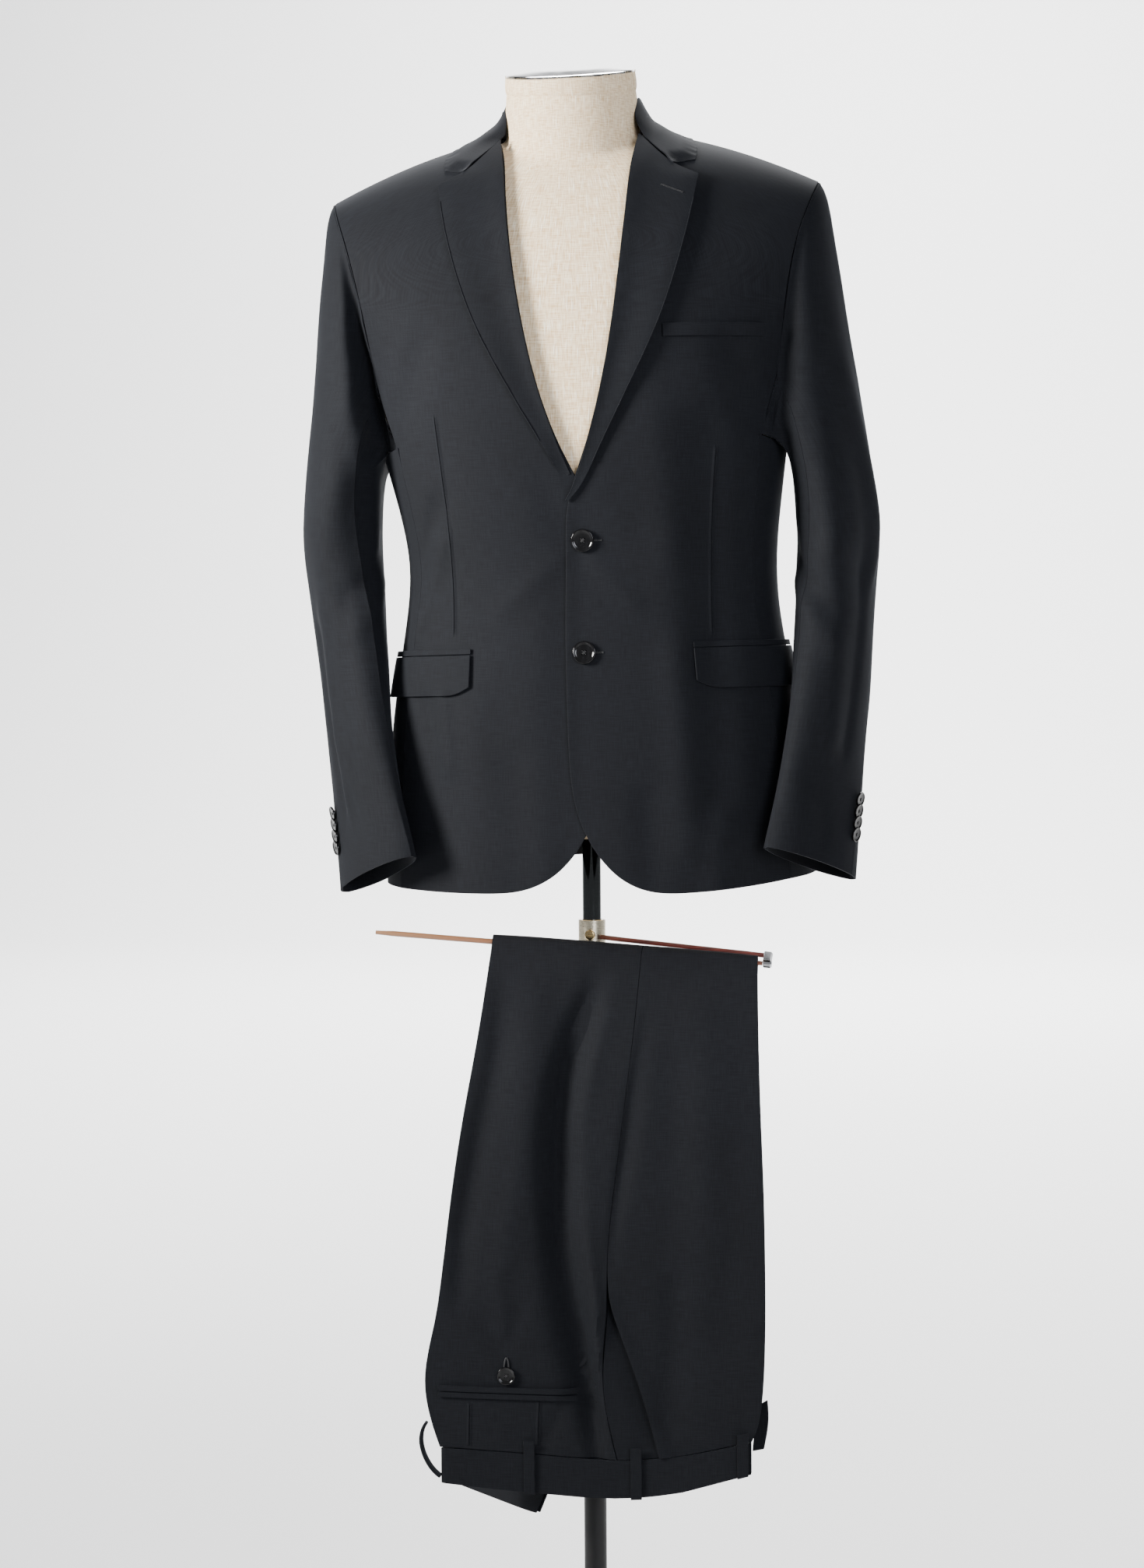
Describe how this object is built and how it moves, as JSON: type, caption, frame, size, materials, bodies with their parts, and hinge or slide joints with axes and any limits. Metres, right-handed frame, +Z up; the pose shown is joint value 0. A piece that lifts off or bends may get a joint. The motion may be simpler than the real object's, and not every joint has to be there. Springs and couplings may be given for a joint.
{
  "type": "business suit on a limbless dress form and stand",
  "caption": "Two-piece charcoal business suit: notch-lapel jacket worn by a linen dress form, trousers folded over the bar of its pole stand.",
  "frame": {"origin": "centre of the base plate's underside, on the axis of the pole", "axes": "+Z up the pole, -Y towards the jacket's front, +X towards the wearer's left"},
  "size_m": [0.569, 0.38, 1.6139],
  "materials": {
    "back_jet_lower": "fine charcoal wool suiting",
    "back_jet_upper": "fine charcoal wool suiting",
    "back_pocket_button": "black horn-like gloss",
    "bar_arm": "varnished red-brown",
    "bar_fitting": "bright",
    "base_hub": "satin black",
    "base_plate": "satin black",
    "belt_loop_1": "fine charcoal wool suiting",
    "belt_loop_2": "fine charcoal wool suiting",
    "belt_loop_3": "fine charcoal wool suiting",
    "belt_loop_4": "fine charcoal wool suiting",
    "belt_loop_far_1": "fine charcoal wool suiting",
    "belt_loop_far_2": "fine charcoal wool suiting",
    "belt_loop_far_3": "fine charcoal wool suiting",
    "breast_welt": "fine charcoal wool suiting",
    "clamp_screw": "pale nickel",
    "closure_end": "fine charcoal wool suiting",
    "cuff_button_left_1": "black horn-like gloss",
    "cuff_button_left_2": "black horn-like gloss",
    "cuff_button_left_3": "black horn-like gloss",
    "cuff_button_left_4": "black horn-like gloss",
    "cuff_button_right_1": "black horn-like gloss",
    "cuff_button_right_2": "black horn-like gloss",
    "cuff_button_right_3": "black horn-like gloss",
    "cuff_button_right_4": "black horn-like gloss",
    "form_torso": "natural linen weave",
    "form_tube": "dark gloss",
    "front_button_1": "black horn-like gloss",
    "front_button_2": "black horn-like gloss",
    "jacket_back_left": "fine charcoal wool suiting",
    "jacket_back_right": "fine charcoal wool suiting",
    "jacket_collar": "fine charcoal wool suiting",
    "jacket_collar_stand": "fine charcoal wool suiting",
    "jacket_front_left": "fine charcoal wool suiting",
    "jacket_front_right": "fine charcoal wool suiting",
    "jacket_lapel_left": "fine charcoal wool suiting",
    "jacket_lapel_right": "fine charcoal wool suiting",
    "jacket_side_left": "fine charcoal wool suiting",
    "jacket_side_right": "fine charcoal wool suiting",
    "neck_cap": "bright rim, linen top",
    "pocket_facing": "fine charcoal wool suiting",
    "pocket_flap_left": "fine charcoal wool suiting",
    "pocket_flap_right": "fine charcoal wool suiting",
    "pocket_jet_left": "fine charcoal wool suiting",
    "pocket_jet_right": "fine charcoal wool suiting",
    "pole": "satin black",
    "pole_collar": "pale nickel",
    "sleeve_top_left": "fine charcoal wool suiting",
    "sleeve_top_right": "fine charcoal wool suiting",
    "sleeve_under_left": "fine charcoal wool suiting",
    "sleeve_under_right": "fine charcoal wool suiting",
    "trouser_back_panel": "fine charcoal wool suiting",
    "trouser_bar": "varnished red-brown",
    "trouser_front_panel": "fine charcoal wool suiting",
    "trouser_inner_layers": "fine charcoal wool suiting",
    "waistband_far": "fine charcoal wool suiting",
    "waistband_near": "fine charcoal wool suiting"
  },
  "bodies": {
    "stand": {"back_jet_lower": "back_jet_lower", "back_jet_upper": "back_jet_upper", "back_pocket_button": "back_pocket_button", "bar_arm": "bar_arm", "bar_fitting": "bar_fitting", "base_hub": "base_hub", "base_plate": "base_plate", "belt_loop_1": "belt_loop_1", "belt_loop_2": "belt_loop_2", "belt_loop_3": "belt_loop_3", "belt_loop_4": "belt_loop_4", "belt_loop_far_1": "belt_loop_far_1", "belt_loop_far_2": "belt_loop_far_2", "belt_loop_far_3": "belt_loop_far_3", "clamp_screw": "clamp_screw", "closure_end": "closure_end", "pocket_facing": "pocket_facing", "pole": "pole", "pole_collar": "pole_collar", "trouser_back_panel": "trouser_back_panel", "trouser_bar": "trouser_bar", "trouser_front_panel": "trouser_front_panel", "trouser_inner_layers": "trouser_inner_layers", "waistband_far": "waistband_far", "waistband_near": "waistband_near"},
    "form": {"breast_welt": "breast_welt", "cuff_button_left_1": "cuff_button_left_1", "cuff_button_left_2": "cuff_button_left_2", "cuff_button_left_3": "cuff_button_left_3", "cuff_button_left_4": "cuff_button_left_4", "cuff_button_right_1": "cuff_button_right_1", "cuff_button_right_2": "cuff_button_right_2", "cuff_button_right_3": "cuff_button_right_3", "cuff_button_right_4": "cuff_button_right_4", "form_torso": "form_torso", "form_tube": "form_tube", "front_button_1": "front_button_1", "front_button_2": "front_button_2", "jacket_back_left": "jacket_back_left", "jacket_back_right": "jacket_back_right", "jacket_collar": "jacket_collar", "jacket_collar_stand": "jacket_collar_stand", "jacket_front_left": "jacket_front_left", "jacket_front_right": "jacket_front_right", "jacket_lapel_left": "jacket_lapel_left", "jacket_lapel_right": "jacket_lapel_right", "jacket_side_left": "jacket_side_left", "jacket_side_right": "jacket_side_right", "neck_cap": "neck_cap", "pocket_flap_left": "pocket_flap_left", "pocket_flap_right": "pocket_flap_right", "pocket_jet_left": "pocket_jet_left", "pocket_jet_right": "pocket_jet_right", "sleeve_top_left": "sleeve_top_left", "sleeve_top_right": "sleeve_top_right", "sleeve_under_left": "sleeve_under_left", "sleeve_under_right": "sleeve_under_right"}
  },
  "joints": [
    {"name": "mast_height", "type": "slide", "parent": "stand", "child": "form", "axis": [0, 0, 1], "range_m": [0, 0.25]}
  ]
}
